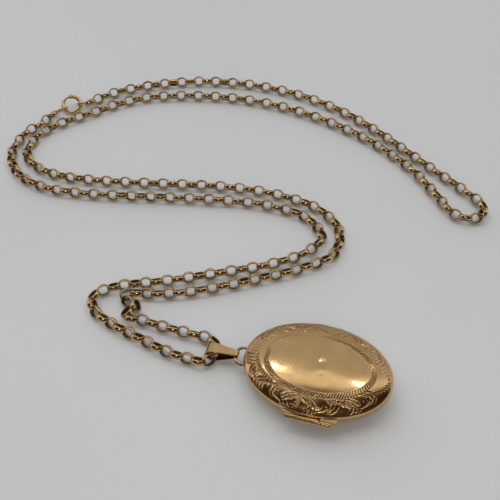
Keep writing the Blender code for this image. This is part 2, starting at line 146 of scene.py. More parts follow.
# ------------ mesh helpers
def mesh_piece(name, verts, faces, smooth=True):
    mesh = bpy.data.meshes.new(name)
    mesh.from_pydata([tuple(v) for v in verts], [], [tuple(f) for f in faces])
    mesh.validate()
    obj = bpy.data.objects.new(name, mesh)
    bpy.context.scene.collection.objects.link(obj)
    bm = bmesh.new()
    bm.from_mesh(mesh)
    bmesh.ops.recalc_face_normals(bm, faces=bm.faces)
    bm.to_mesh(mesh)
    bm.free()
    if smooth:
        mesh.shade_smooth()
    return obj


def store(obj, key, values):
    """Keeps one number for each point, for the materials to read."""
    layer = obj.data.attributes.new(key, "FLOAT", "POINT")
    layer.data.foreach_set("value", np.asarray(values, np.float32))


def fast_piece(name, verts, faces, attributes=None):
    """Mesh from arrays: verts (n, 3) in metres, faces (m, 4)."""
    mesh = bpy.data.meshes.new(name)
    verts = np.asarray(verts, np.float32)
    faces = np.asarray(faces, np.int32)
    mesh.vertices.add(len(verts))
    mesh.vertices.foreach_set("co", verts.ravel())
    mesh.loops.add(faces.size)
    mesh.loops.foreach_set("vertex_index", faces.ravel())
    mesh.polygons.add(len(faces))
    mesh.polygons.foreach_set("loop_start", np.arange(len(faces), dtype=np.int32) * 4)
    mesh.update(calc_edges=True)
    mesh.validate()
    mesh.shade_smooth()
    obj = bpy.data.objects.new(name, mesh)
    bpy.context.scene.collection.objects.link(obj)
    for key, values in (attributes or {}).items():
        store(obj, key, values)
    return obj


def grid_array(rows, count, closed_rows=False):
    r = np.arange(rows if closed_rows else rows - 1)
    i = np.arange(count)
    R, I = np.meshgrid(r, i, indexing="ij")
    S = (R + 1) % rows
    J = (I + 1) % count
    return np.stack([R * count + I, R * count + J, S * count + J, S * count + I], -1).reshape(-1, 4)


def capped_faces(rows, count):
    """Quads over rows of count points, with a flat face at each end."""
    faces = [tuple(f) for f in grid_array(rows, count)]
    faces.append(tuple(range(count)))
    faces.append(tuple((rows - 1) * count + i for i in range(count)))
    return faces


def catmull(points, per):
    """A smooth curve through the points, with per steps between each two."""
    pts = np.array(points, float)
    out = []
    n = len(pts)
    for i in range(n - 1):
        p0, p1, p2, p3 = pts[max(i - 1, 0)], pts[i], pts[i + 1], pts[min(i + 2, n - 1)]
        t = np.arange(per)[:, None] / per
        out.append(0.5 * (2 * p1 + (p2 - p0) * t + (2 * p0 - 5 * p1 + 4 * p2 - p3) * t ** 2
                          + (3 * p1 - p0 - 3 * p2 + p3) * t ** 3))
    out.append(pts[-1:])
    return np.concatenate(out)


def by_length(points, step):
    """The same polyline read off at equal distances of about step."""
    seg = np.linalg.norm(np.diff(points, axis=0), axis=1)
    run = np.r_[0, np.cumsum(seg)]
    count = max(2, int(round(run[-1] / step)) + 1)
    at = np.linspace(0, run[-1], count)
    return np.stack([np.interp(at, run, points[:, k]) for k in range(points.shape[1])], 1)


def length_of(points):
    return float(np.linalg.norm(np.diff(points, axis=0), axis=1).sum())


def wire(name, points, radius, sides, closed=False, dome=True):
    """A round wire along points (n, 3) in mm, with rounded ends."""
    p = np.array(points, float)
    n = len(p)
    if closed:
        tangent = np.roll(p, -1, 0) - np.roll(p, 1, 0)
    else:
        tangent = np.gradient(p, axis=0)
    tangent /= np.linalg.norm(tangent, axis=1)[:, None]
    ref = np.array([0, 0, 1.0])
    if abs(tangent[0] @ ref) > 0.9:
        ref = np.array([1.0, 0, 0])
    normal = ref - tangent[0] * (ref @ tangent[0])
    normal /= np.linalg.norm(normal)
    frames = []
    for k in range(n):
        normal = normal - tangent[k] * (normal @ tangent[k])
        normal /= np.linalg.norm(normal)
        frames.append((p[k], tangent[k], normal, np.cross(tangent[k], normal)))
    a = np.linspace(0, 2 * np.pi, sides, endpoint=False)
    rows = []
    if not closed and dome:
        for f in (0.05, 0.45, 0.8):
            c, t, u, v = frames[0]
            rows.append((c - t * radius * 0.5 * math.cos(math.asin(f)), u, v, radius * f))
    for c, t, u, v in frames:
        rows.append((c, u, v, radius))
    if not closed and dome:
        for f in (0.8, 0.45, 0.05):
            c, t, u, v = frames[-1]
            rows.append((c + t * radius * 0.5 * math.cos(math.asin(f)), u, v, radius * f))
    verts = np.concatenate([c + r * (np.cos(a)[:, None] * u + np.sin(a)[:, None] * v)
                            for c, u, v, r in rows])
    faces = grid_array(len(rows), sides, True) if closed else capped_faces(len(rows), sides)
    return mesh_piece(name, verts * MM, faces)


def oval_xy(half_x, half_y, count):
    a = np.linspace(0, 2 * np.pi, count, endpoint=False)
    return np.stack([half_x * np.cos(a), half_y * np.sin(a)], 1)


def loft_oval(name, section, count=240, closed=True):
    """section is a list of (half length, half width, z) in mm."""
    rows = []
    for hx, hy, z in section:
        xy = oval_xy(hx, hy, count)
        rows.append(np.c_[xy, np.full(count, z)])
    verts = np.concatenate(rows)
    faces = grid_array(len(rows), count, True) if closed else capped_faces(len(rows), count)
    return mesh_piece(name, verts * MM, faces)


# ------------ materials
def nodes_of(name):
    mat = bpy.data.materials.new(name)
    mat.use_nodes = True
    tree = mat.node_tree
    return mat, tree, tree.nodes["Principled BSDF"]


def noise_node(tree, coords, scale, detail, rough, stretch=None):
    tex = tree.nodes.new("ShaderNodeTexNoise")
    tex.inputs["Scale"].default_value = scale
    tex.inputs["Detail"].default_value = detail
    tex.inputs["Roughness"].default_value = rough
    source = coords
    if stretch:
        mapping = tree.nodes.new("ShaderNodeMapping")
        mapping.inputs["Scale"].default_value = stretch[0]
        mapping.inputs["Rotation"].default_value = stretch[1]
        tree.links.new(coords, mapping.inputs["Vector"])
        source = mapping.outputs["Vector"]
    tree.links.new(source, tex.inputs["Vector"])
    return tex.outputs["Fac"]


def ramp(tree, value, stops):
    node = tree.nodes.new("ShaderNodeValToRGB")
    node.color_ramp.elements[0].position = stops[0][0]
    node.color_ramp.elements[0].color = stops[0][1]
    node.color_ramp.elements[1].position = stops[-1][0]
    node.color_ramp.elements[1].color = stops[-1][1]
    for position, colour in stops[1:-1]:
        node.color_ramp.elements.new(position).color = colour
    tree.links.new(value, node.inputs["Fac"])
    return node.outputs["Color"]


def mix(tree, factor, a, b):
    node = tree.nodes.new("ShaderNodeMix")
    node.data_type = "RGBA"
    for socket, value in ((node.inputs["Factor"], factor), (node.inputs["A"], a), (node.inputs["B"], b)):
        if isinstance(value, bpy.types.NodeSocket):
            tree.links.new(value, socket)
        else:
            socket.default_value = value
    return node.outputs["Result"]


def math_node(tree, kind, a, b):
    node = tree.nodes.new("ShaderNodeMath")
    node.operation = kind
    for socket, value in ((node.inputs[0], a), (node.inputs[1], b)):
        if isinstance(value, bpy.types.NodeSocket):
            tree.links.new(value, socket)
        else:
            socket.default_value = value
    return node.outputs[0]


def attribute(tree, key):
    node = tree.nodes.new("ShaderNodeAttribute")
    node.attribute_name = key
    return node.outputs["Fac"]


def add_bump(tree, shader, height, strength):
    bump = tree.nodes.new("ShaderNodeBump")
    bump.inputs["Strength"].default_value = strength
    bump.inputs["Distance"].default_value = BUMP_DEPTH
    tree.links.new(height, bump.inputs["Height"])
    tree.links.new(bump.outputs["Normal"], shader.inputs["Normal"])


def gold(name, bright, dull, deep, rough, rough_spread, scratch, shade_and_dirt=None, shade_and_dirt_gain=1.0):
    """Worn yellow gold: patchy colour, fine scratches, and a darker, rougher colour where a point attribute
    says; that darkening is painted shade, on the locket partly dirt in the cuts.
    """
    mat, tree, shader = nodes_of(name)
    coords = tree.nodes.new("ShaderNodeTexCoord").outputs["Object"]
    patch = noise_node(tree, coords, 260, 4, 0.6)
    colour = ramp(tree, patch, [(0.32, dull), (0.68, bright)])
    speck = noise_node(tree, coords, 2600, 2, 0.7)
    specks = ramp(tree, speck, [(0.60, (0, 0, 0, 1)), (0.78, (1, 1, 1, 1))])
    colour = mix(tree, math_node(tree, "MULTIPLY", specks, SPECK_SHARE), colour, deep)
    # Painted shade: the attribute mixes the colour toward the deep colour and raises roughness (on the locket
    # partly dirt in the cuts).
    if shade_and_dirt:
        amount = math_node(tree, "MULTIPLY", attribute(tree, shade_and_dirt), shade_and_dirt_gain)
        wobble = noise_node(tree, coords, 900, 3, 0.6)
        amount = math_node(tree, "MULTIPLY", amount, math_node(tree, "ADD", wobble, 0.55))
        amount = math_node(tree, "MINIMUM", amount, 1.0)
        colour = mix(tree, amount, colour, deep)
    tree.links.new(colour, shader.inputs["Base Color"])
    shader.inputs["Metallic"].default_value = 1.0
    smudge = noise_node(tree, coords, 420, 4, 0.65)
    rough_value = math_node(tree, "ADD", math_node(tree, "MULTIPLY", smudge, rough_spread), rough)
    if shade_and_dirt:
        rough_value = math_node(tree, "ADD", rough_value, math_node(tree, "MULTIPLY", amount, 0.22))
    tree.links.new(rough_value, shader.inputs["Roughness"])
    lines_a = noise_node(tree, coords, 900, 2, 0.5, ((1, 14, 1), (0, 0, 0.5)))
    lines_b = noise_node(tree, coords, 900, 2, 0.5, ((16, 1, 1), (0, 0, -0.25)))
    micro = noise_node(tree, coords, 1500, 3, 0.6)
    height = math_node(tree, "ADD", math_node(tree, "ADD", lines_a, lines_b), micro)
    add_bump(tree, shader, height, scratch)
    return mat


def clear_plastic(name):
    mat, tree, shader = nodes_of(name)
    coords = tree.nodes.new("ShaderNodeTexCoord").outputs["Object"]
    haze = noise_node(tree, coords, 300, 4, 0.6)
    colour = ramp(tree, haze, [(0.3, (0.80, 0.82, 0.80, 1)), (0.7, (0.90, 0.92, 0.91, 1))])
    tree.links.new(colour, shader.inputs["Base Color"])
    rough = math_node(tree, "ADD", math_node(tree, "MULTIPLY", haze, 0.15), 0.06)
    tree.links.new(rough, shader.inputs["Roughness"])
    shader.inputs["Alpha"].default_value = 0.35
    shader.inputs["IOR"].default_value = 1.49
    return mat


def table_surface(name):
    mat, tree, shader = nodes_of(name)
    coords = tree.nodes.new("ShaderNodeTexCoord").outputs["Object"]
    soft = noise_node(tree, coords, 9, 3, 0.5)
    colour = ramp(tree, soft, [(0.3, (0.66, 0.68, 0.695, 1)), (0.7, (0.70, 0.72, 0.735, 1))])
    tree.links.new(colour, shader.inputs["Base Color"])
    shader.inputs["Roughness"].default_value = 0.55
    grain = noise_node(tree, coords, 2500, 3, 0.6)
    add_bump(tree, shader, grain, 0.08)
    return mat


def paint(obj, mat):
    obj.data.materials.clear()
    obj.data.materials.append(mat)
    return obj


def stand_in(obj, mat, node, body):
    """Gives a piece its finish, puts it in the place of a node and fixes it to a body."""
    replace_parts(paint(obj, mat), node)
    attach(obj, body)


# ------------ engraving map
class Engraving:
    """Heights of the cut border on an unrolled strip: s along the rim, d in from the rim, mm."""
    STEP = 0.022

    def __init__(self):
        a = np.linspace(0, 2 * np.pi, 4001)
        mid_x, mid_y = HALF_LENGTH - 1.8, HALF_WIDTH - 1.8
        seg = np.hypot(np.diff(mid_x * np.cos(a)), np.diff(mid_y * np.sin(a)))
        self.angle = a
        self.run = np.r_[0, np.cumsum(seg)]
        self.total = float(self.run[-1])
        self.cols = int(round(self.total / self.STEP))
        self.rows = int(round(STRIP_WIDE / self.STEP))
        self.ds = self.total / self.cols
        self.height = np.zeros((self.rows, self.cols))
        self.mark = np.zeros((self.rows, self.cols))
        self.s = (np.arange(self.cols) + 0.5) * self.ds
        self.d = (np.arange(self.rows) + 0.5) * self.STEP
        self.rng = random.Random(11)

    def s_at(self, degrees):
        return float(np.interp(math.radians(degrees % 360), self.angle, self.run))

    def stroke(self, points, width, depth, bulge=0.0, lean=0.0, blunt=False):
        """A tapered cut along points (s, d). lean makes one wall long and the other steep."""
        pts = catmull(points, 8)
        run = np.r_[0, np.cumsum(np.linalg.norm(np.diff(pts, axis=0), axis=1))]
        t = run / run[-1]
        reach = width * 1.9 + 0.05
        s_low, s_high = pts[:, 0].min() - reach, pts[:, 0].max() + reach
        d_low, d_high = pts[:, 1].min() - reach, pts[:, 1].max() + reach
        c = np.arange(int(math.floor(s_low / self.ds)), int(math.ceil(s_high / self.ds)) + 1)
        r = np.arange(max(0, int(d_low / self.STEP)), min(self.rows, int(d_high / self.STEP) + 2))
        if len(r) == 0:
            return
        S, D = np.meshgrid((c + 0.5) * self.ds, (r + 0.5) * self.STEP)
        best = np.full(S.shape, 1e9)
        where = np.zeros(S.shape)
        hand = np.zeros(S.shape)
        for k in range(len(pts) - 1):
            p, q = pts[k], pts[k + 1]
            v = q - p
            L = max(v @ v, 1e-9)
            u = np.clip(((S - p[0]) * v[0] + (D - p[1]) * v[1]) / L, 0, 1)
            dist = np.hypot(S - p[0] - u * v[0], D - p[1] - u * v[1])
            hit = dist < best
            best = np.where(hit, dist, best)
            where = np.where(hit, t[k] + (t[k + 1] - t[k]) * u, where)
            hand = np.where(hit, np.sign(v[0] * (D - p[1]) - v[1] * (S - p[0])), hand)
        if blunt:
            taper = np.clip(np.minimum(where * 7 + 0.25, (1 - where) * 1.25), 0, 1) ** 0.8
        else:
            taper = np.clip(np.sin(np.pi * np.clip(where * 0.86 + 0.10, 0, 1)), 0, 1) ** 0.7
        half = np.maximum(width * taper, 1e-4)
        x = best * hand / half
        bottom = lean
        wall = np.where(x > bottom, (1 - x) / (1 - bottom), (1 + x) / (1 + bottom))
        cut = -depth * taper * np.clip(wall, 0, 1) ** 0.9
        flank = bulge * taper * np.exp(-((np.abs(x) - 1.35) / 0.4) ** 2)
        cols = c % self.cols
        block = self.height[np.ix_(r, cols)]
        block = np.where(cut < -1e-6, np.minimum(block, cut), block + flank)
        self.height[np.ix_(r, cols)] = block

    def wriggle(self, centre, half, pitch, slant, depth, keep=None):
        """A row of slanted ticks round the border, centred where centre(s) says."""
        S, D = np.meshgrid(self.s, self.d)
        mid = centre(S)
        count = round(self.total / pitch)
        phase = S / self.total * count + slant * (D - mid) / pitch
        saw = np.abs((phase % 1.0) - 0.5) * 2
        tick = np.clip((saw - 0.38) / 0.40, 0, 1)
        window = np.clip(1.15 - (np.abs(D - mid) / half) ** 4, 0, 1)
        if keep is not None:
            window = window * keep(S)
        amount = tick * window
        self.height = np.where(window > 0.3, 0.0, self.height) + depth * (0.5 * window - amount)
        self.mark = np.maximum(self.mark, amount)

    def sample(self, field, angle, inset):
        """A field of the strip at parametric angle and inset arrays."""
        s = np.interp(angle % (2 * np.pi), self.angle, self.run)
        x = (s / self.ds - 0.5) % self.cols
        y = np.clip(inset / self.STEP - 0.5, 0, self.rows - 1.001)
        x0 = np.floor(x).astype(int)
        y0 = np.floor(y).astype(int)
        fx, fy = x - x0, y - y0
        x1 = (x0 + 1) % self.cols
        x0 = x0 % self.cols
        upper = field[y0, x0] * (1 - fx) + field[y0, x1] * fx
        lower = field[y0 + 1, x0] * (1 - fx) + field[y0 + 1, x1] * fx
        return upper * (1 - fy) + lower * fy


def comma(eng, s, d, along, out, size, rise, width, depth, lean):
    """One leaf cut: starts fat on the stem, sweeps out and bends back along it."""
    pts = [(s, d), (s + along * 0.24 * size, d + out * 0.55 * rise),
           (s + along * 0.60 * size, d + out * 0.95 * rise), (s + along * 1.0 * size, d + out * 0.98 * rise)]
    eng.stroke(pts, width, depth, 0.025, lean, blunt=True)


def scroll_panel(eng, low, high, forward, bold):
    """A waving stem with sprays of leaf cuts between two points along the rim."""
    span = high - low
    waves = max(1.0, round(span / 6.2))
    along = 1 if forward else -1

    def at(t):
        return low + span * (t if forward else 1 - t)

    def wave(t):
        return math.sin(2 * math.pi * waves * t + 0.6)

    def mid(t):
        return 1.66 + 0.62 * wave(t)

    eng.stroke([(at(k / 40), mid(k / 40)) for k in range(41)], 0.17, 0.10 * bold, 0.02, 0.3)
    sprays = int(waves * 2)
    for n in range(sprays):
        t0 = (n + 0.18) / sprays
        out = -1 if wave(t0 + 0.25 / sprays) > 0 else 1
        for k in range(4):
            t = t0 + k * 0.74 / span
            if not 0 < t < 0.97:
                continue
            d = mid(t)
            room = (d - 0.42) if out < 0 else (2.95 - d)
            rise = max(0.35, min(1.5, room)) * (1.0 - 0.16 * k)
            comma(eng, at(t), d + out * 0.12, along, out, 2.2 - 0.18 * k + 0.3 * eng.rng.random(), rise,
                  0.30, 0.17 * bold, 0.5 * out * along)
        for k in range(3):
            t = t0 + (0.25 + k * 0.62) / span
            if not 0 < t < 0.97:
                continue
            d = mid(t)
            room = (d - 0.45) if out > 0 else (2.9 - d)
            comma(eng, at(t), d - out * 0.12, along, -out, 1.3, max(0.35, min(1.0, room)),
                  0.22, 0.13 * bold, -0.5 * out * along)


def from_tip(eng, S):
    """Distance along the rim from the tip, signed."""
    half = eng.total / 2
    return (S + half) % eng.total - half


def draw_border():
    eng = Engraving()
    marks = [eng.s_at(a) for a in (16, 86, 164, 196, 262, 344)]
    scroll_panel(eng, marks[0] + 0.3, marks[1] - 0.6, True, 0.8)
    scroll_panel(eng, marks[1] + 0.6, marks[2] - 0.2, False, 0.8)
    scroll_panel(eng, marks[3] + 0.2, marks[4] - 0.8, True, 1.1)
    scroll_panel(eng, marks[4] + 0.8, marks[5] - 0.3, False, 1.1)
    bail_s = eng.s_at(180)
    for k in range(-4, 5):
        eng.stroke([(bail_s + k * 0.52, 0.45), (bail_s + k * 0.72, 1.6), (bail_s + k * 0.98, 3.6)],
                   0.20, 0.12, 0.03, 0.5 if k > 0 else -0.5, blunt=True)
    for centre in (marks[1], marks[4]):
        for row in range(4):
            for k in range(7):
                s = centre + (row - 1.5) * 0.27
                d = 0.55 + k * 0.36 + (row % 2) * 0.18
                eng.stroke([(s - 0.08, d), (s + 0.08, d + 0.09)], 0.10, 0.08)

    def outer_row(S):
        x = np.abs(from_tip(eng, S))
        return 2.72 - 2.15 * np.clip(1 - x / 5.0, 0, 1) ** 1.1

    def outer_keep(S):
        x = from_tip(eng, S)
        bail_x = S - bail_s
        keep = (x > -4.8) & (x < 15.0) | (bail_x > 0.5) & (bail_x < 8.0)
        return keep.astype(float)

    def oval_row(S):
        x = np.abs(S - bail_s)
        return 3.62 + 1.05 * np.clip(1 - x / 9.0, 0, 1) ** 1.4

    eng.wriggle(outer_row, 0.36, 0.62, 0.75, 0.11, outer_keep)
    eng.wriggle(oval_row, 0.52, 0.62, -0.75, 0.12)
    return eng


# ------------ covers
def shoulder_curve(count):
    """(inset, height above seam) along the outside from the top of the rim band to the oval."""
    pts = catmull(SHOULDER + [(BORDER, OVAL_HEIGHT)], 24)
    return by_length(pts, length_of(pts) / (count - 1))


def dome_height(s, crown, flat):
    rise = crown - OVAL_HEIGHT
    t = np.clip((s - flat) / (1 - flat), 0, 1)
    return OVAL_HEIGHT + rise * (1 - t ** 2)


def dents(x, y):
    """Worn dents and the gentle waves of thin pressed gold, in mm."""
    h = np.zeros_like(x)
    for cx, cy, size, depth in ((0.80, 0.2, 0.66, -0.17), (1.35, -2.9, 0.90, -0.065), (1.1, -1.4, 1.3, 0.05),
                                (-3.8, 1.6, 2.6, 0.035), (4.8, 0.6, 2.4, -0.035), (0.2, 2.6, 2.4, 0.045),
                                (-5.6, -1.2, 1.7, -0.03), (7.0, -2.0, 1.4, 0.03), (-1.5, -0.5, 2.0, -0.03)):
        h += depth * np.exp(-((x - cx) ** 2 + (y - cy) ** 2) / size ** 2)
    return h


def front_cover(eng):
    """The engraved outer skin, from the middle of the dome to the edge at the seam."""
    count = 1080
    along = (np.arange(count) + 0.5) / count * eng.total
    a = np.interp(along, eng.run, eng.angle)
    rows = []
    hx, hy = HALF_LENGTH - BORDER, HALF_WIDTH - BORDER
    for s in np.r_[0.002, np.linspace(0.035, 0.78, 14), np.linspace(0.80, 0.988, 14)]:
        rows.append((hx * s, hy * s, float(dome_height(s, CROWN_HEIGHT, 0.0)), BORDER + (1 - s)))
    for d, h in shoulder_curve(55)[::-1]:
        rows.append((HALF_LENGTH - d, HALF_WIDTH - d, h, d))
    for h in (0.40, 0.25, 0.12, SEAM_GAP + 0.03):
        rows.append((HALF_LENGTH, HALF_WIDTH, h, 0.0))
    rows.append((HALF_LENGTH - 0.04, HALF_WIDTH - 0.04, SEAM_GAP, 0.0))
    rows.append((HALF_LENGTH - WALL, HALF_WIDTH - WALL, SEAM_GAP, 0.0))
    arr = np.array(rows)
    X = arr[:, 0:1] * np.cos(a)[None]
    Y = arr[:, 1:2] * np.sin(a)[None]
    Z = np.repeat(SEAM_Z + arr[:, 2:3], count, 1)
    P = np.stack([X, Y, Z], -1)
    du = np.roll(P, -1, 1) - np.roll(P, 1, 1)
    dv = np.gradient(P, axis=0)
    N = np.cross(dv, du)
    N /= np.maximum(np.linalg.norm(N, axis=-1, keepdims=True), 1e-9)
    N = N * np.where(N[..., 2:3] < -0.2, -1.0, 1.0)
    inset = np.repeat(arr[:, 3:4], count, 1)
    inside = np.maximum(inset - BORDER, 0)
    inset = inset + inside * (np.hypot(hx * np.cos(a), hy * np.sin(a))[None] - 1)
    A = np.repeat(a[None], len(rows), 0)
    H = np.zeros_like(inset)
    cut_zone = (inset > CUT_ZONE[0]) & (inset < CUT_ZONE[1])
    H[cut_zone] = eng.sample(eng.height, A[cut_zone], inset[cut_zone])
    mark = np.zeros_like(inset)
    mark[cut_zone] = eng.sample(eng.mark, A[cut_zone], inset[cut_zone])
    H = H + dents(X, Y) * np.clip((inset - 3.2) / 1.6, 0, 1)
    P = P + N * H[..., None]
    # Colour darkening stored with the skin: deeper cuts are darker, partly dirt in the recesses and partly
    # painted shade. The tick rows are darker too, more so on the near side (negative Y), and that extra is
    # painted shade. The engraved band also gets a light, even darkening.
    cut = np.where(cut_zone, np.clip(-H / CUT_FULL_DEPTH, 0, 1) * CUT_DARK, 0)
    nearness = np.clip(0.3 - Y / 5, 0, 1)
    cut = np.maximum(cut, mark * (MARK_DARK + NEAR_SIDE_PAINTED_SHADE * nearness))
    cut = np.where((inset > 0.3) & (inset < 3.1), np.maximum(cut, BORDER_DARK), cut)
    return fast_piece("front_cover_skin", P.reshape(-1, 3) * MM, grid_array(len(rows), count),
                      {"cut": cut.ravel()})


def front_lining():
    """The inside of the front cover."""
    hx, hy = HALF_LENGTH - BORDER, HALF_WIDTH - BORDER
    section = [(HALF_LENGTH - WALL, HALF_WIDTH - WALL, SEAM_Z + SEAM_GAP),
               (HALF_LENGTH - WALL, HALF_WIDTH - WALL, SEAM_Z + 0.5)]
    section += [(HALF_LENGTH - d - WALL * 0.9, HALF_WIDTH - d - WALL * 0.9, SEAM_Z + h - WALL * 0.55)
                for d, h in SHOULDER[1:4]]
    section += [(HALF_LENGTH - d - WALL * 0.3, HALF_WIDTH - d - WALL * 0.3, SEAM_Z + h - WALL * 0.95)
                for d, h in SHOULDER[4:]]
    section += [(hx * s, hy * s, SEAM_Z + float(dome_height(s, CROWN_HEIGHT, 0.0)) - WALL)
                for s in (0.98, 0.7, 0.4, 0.002)]
    rows = [np.c_[oval_xy(x, y, 240), np.full(240, z)] for x, y, z in section]
    return fast_piece("front_cover_lining", np.concatenate(rows) * MM, grid_array(len(rows), 240))


def back_cover():
    count = 360
    a = np.linspace(0, 2 * np.pi, count, endpoint=False)
    rows = []
    hx, hy = HALF_LENGTH - BORDER, HALF_WIDTH - BORDER
    for s in np.r_[0.002, 0.3, 0.48, BACK_FLAT, np.linspace(0.58, 0.98, 10)]:
        rows.append((hx * s, hy * s, -float(dome_height(s, SEAM_Z, BACK_FLAT))))
    for d, h in shoulder_curve(30)[::-1]:
        rows.append((HALF_LENGTH - d, HALF_WIDTH - d, -h))
    for h in (0.40, 0.25, 0.12, SEAM_GAP + 0.03):
        rows.append((HALF_LENGTH, HALF_WIDTH, -h))
    rows.append((HALF_LENGTH - 0.04, HALF_WIDTH - 0.04, -SEAM_GAP))
    inner = [(WALL, SEAM_GAP), (WALL, 0.5)]
    inner += [(d + WALL * 0.9, h - WALL * 0.55) for d, h in SHOULDER[1:4]]
    inner += [(d + WALL * 0.3, h - WALL * 0.95) for d, h in SHOULDER[4:]]
    for d, h in inner:
        rows.append((HALF_LENGTH - d, HALF_WIDTH - d, -h))
    for s in (0.98, 0.8, BACK_FLAT, 0.3, 0.002):
        rows.append((hx * s, hy * s, -float(dome_height(s, SEAM_Z, BACK_FLAT)) + WALL))
    arr = np.array(rows)
    X = arr[:, 0:1] * np.cos(a)[None]
    Y = arr[:, 1:2] * np.sin(a)[None]
    Z = np.repeat(SEAM_Z + arr[:, 2:3], count, 1)
    P = np.stack([X, Y, Z], -1).reshape(-1, 3)
    return fast_piece("back_cover_skin", P * MM, grid_array(len(rows), count)[:, ::-1])


def oval_band(name, section):
    return loft_oval(name, [(HALF_LENGTH - d, HALF_WIDTH - d, SEAM_Z + h) for d, h in section])


def inside_pieces(metal, clear):
    lip = oval_band("snap_lip_skin", [(0.45, -0.55), (0.45, 0.35), (0.48, 0.42), (0.55, 0.45),
                                      (0.75, 0.45), (0.80, 0.40), (0.80, -0.55)])
    stand_in(lip, metal, "back_snap_lip", "back_half")
    frame_b = oval_band("back_picture_frame_skin",
                        [(0.90, -0.90), (0.90, -0.28), (0.94, -0.16), (1.05, -0.09), (1.50, -0.08),
                         (1.86, -0.13), (1.97, -0.22), (1.98, -0.30), (1.25, -0.38), (1.20, -0.90)])
    stand_in(frame_b, metal, "back_picture_frame", "back_half")
    frame_f = oval_band("front_picture_frame_skin",
                        [(1.15, 1.20), (1.10, 0.74), (1.14, 0.64), (1.25, 0.57), (1.70, 0.56),
                         (2.02, 0.61), (2.12, 0.70), (2.13, 0.78), (1.45, 0.86), (1.45, 1.20)])
    stand_in(frame_f, metal, "front_picture_frame", "front_half")
    for name, inset, low, high, node, body in (
            ("back_window_skin", 1.30, -0.70, -0.45, "back_picture_window", "back_half"),
            ("front_window_skin", 1.55, 0.93, 1.18, "front_picture_window", "front_half")):
        section = [(HALF_LENGTH - inset - 0.03, HALF_WIDTH - inset - 0.03, SEAM_Z + low),
                   (HALF_LENGTH - inset, HALF_WIDTH - inset, SEAM_Z + low + 0.03),
                   (HALF_LENGTH - inset, HALF_WIDTH - inset, SEAM_Z + high - 0.03),
                   (HALF_LENGTH - inset - 0.03, HALF_WIDTH - inset - 0.03, SEAM_Z + high)]
        pane = loft_oval(name, section, 200, closed=False)
        stand_in(pane, clear, node, body)


# ------------ hinge
def apply_boolean(obj, cutter, operation):
    mod = obj.modifiers.new(operation.lower(), "BOOLEAN")
    mod.operation = operation
    mod.solver = "EXACT"
    mod.object = cutter
    depsgraph = bpy.context.evaluated_depsgraph_get()
    mesh = bpy.data.meshes.new_from_object(obj.evaluated_get(depsgraph))
    obj.modifiers.clear()
    obj.data = mesh
    bpy.data.objects.remove(cutter, do_unlink=True)


def bar(name, x_low, x_high, radius, sides, chamfer):
    """A round bar along X on the hinge axis with softened ends."""
    rows = []
    a = np.linspace(0, 2 * np.pi, sides, endpoint=False)
    for x, r in ((x_low, radius - chamfer), (x_low + chamfer, radius), (x_high - chamfer, radius),
                 (x_high, radius - chamfer)):
        rows.append(np.c_[np.full(sides, x), HINGE_Y + r * np.cos(a), SEAM_Z + r * np.sin(a)])
    return mesh_piece(name, np.concatenate(rows) * MM, capped_faces(len(rows), sides), smooth=False)


def slab(name, outline, z_low, z_high):
    count = len(outline)
    verts = [(x, y, z_low) for x, y in outline] + [(x, y, z_high) for x, y in outline]
    faces = [tuple(range(count)), tuple(range(count, 2 * count))]
    for i in range(count):
        j = (i + 1) % count
        faces.append((i, j, count + j, count + i))
    return mesh_piece(name, np.array(verts) * MM, faces, smooth=False)


def soften(obj):
    """Smooth shading that keeps real edges."""
    mesh = obj.data
    mesh.shade_smooth()
    bm = bmesh.new()
    bm.from_mesh(mesh)
    for edge in bm.edges:
        if len(edge.link_faces) == 2:
            edge.smooth = edge.calc_face_angle(0) < math.radians(REAL_EDGE_DEG)
    bm.to_mesh(mesh)
    bm.free()


def knuckle(name, node, x_low, x_high, side, ends, metal, body):
    obj = bar(name, x_low, x_high, HINGE_R, 48, KNUCKLE_CHAMFER)
    z = sorted((SEAM_Z + side * LEAF_LOW, SEAM_Z + side * LEAF_HIGH))
    left, right = x_low + 0.02, x_high - 0.02
    outline = [(left, HINGE_Y), (right, HINGE_Y), (right, LEAF_END_Y), (left, LEAF_END_Y)]
    apply_boolean(obj, slab("leaf_tool", outline, z[0], z[1]), "UNION")
    rim = [(p[0], p[1]) for p in oval_xy(HALF_LENGTH + 0.01, HALF_WIDTH + 0.01, 180)]
    apply_boolean(obj, slab("rim_tool", rim, *TOOL_Z), "DIFFERENCE")
    apply_boolean(obj, bar("bore_tool", -8, 9, HINGE_BORE_R, 32, 0.0001), "DIFFERENCE")
    for corner in ends:
        apply_boolean(obj, slab("end_tool", corner, *TOOL_Z), "DIFFERENCE")
    soften(obj)
    stand_in(obj, metal, node, body)


def hinge(metal):
    half = KNUCKLE_GAP / 2
    x = KNUCKLE_X
    bail_end = [(-4.2, -9.6), (-3.1, -10.8), (-3.1, -12), (-7, -12), (-7, -9.6)]
    tip_end = [(5.8, -9.6), (3.95, -10.8), (3.95, -12), (8, -12), (8, -9.6)]
    knuckle("knuckle_bail_end_skin", "front_knuckle_bail_end", x[0], x[1] - half, 1, [bail_end],
            metal, "front_half")
    knuckle("knuckle_tip_end_skin", "front_knuckle_tip_end", x[2] + half, x[3], 1, [tip_end],
            metal, "front_half")
    knuckle("knuckle_back_skin", "back_knuckle", x[1] + half, x[2] - half, -1, [], metal, "back_half")
    pin = bar("hinge_pin_skin", PIN_X[0], PIN_X[1], HINGE_PIN_R, 32, 0.08)
    soften(pin)
    stand_in(pin, metal, "hinge_pin", "back_half")


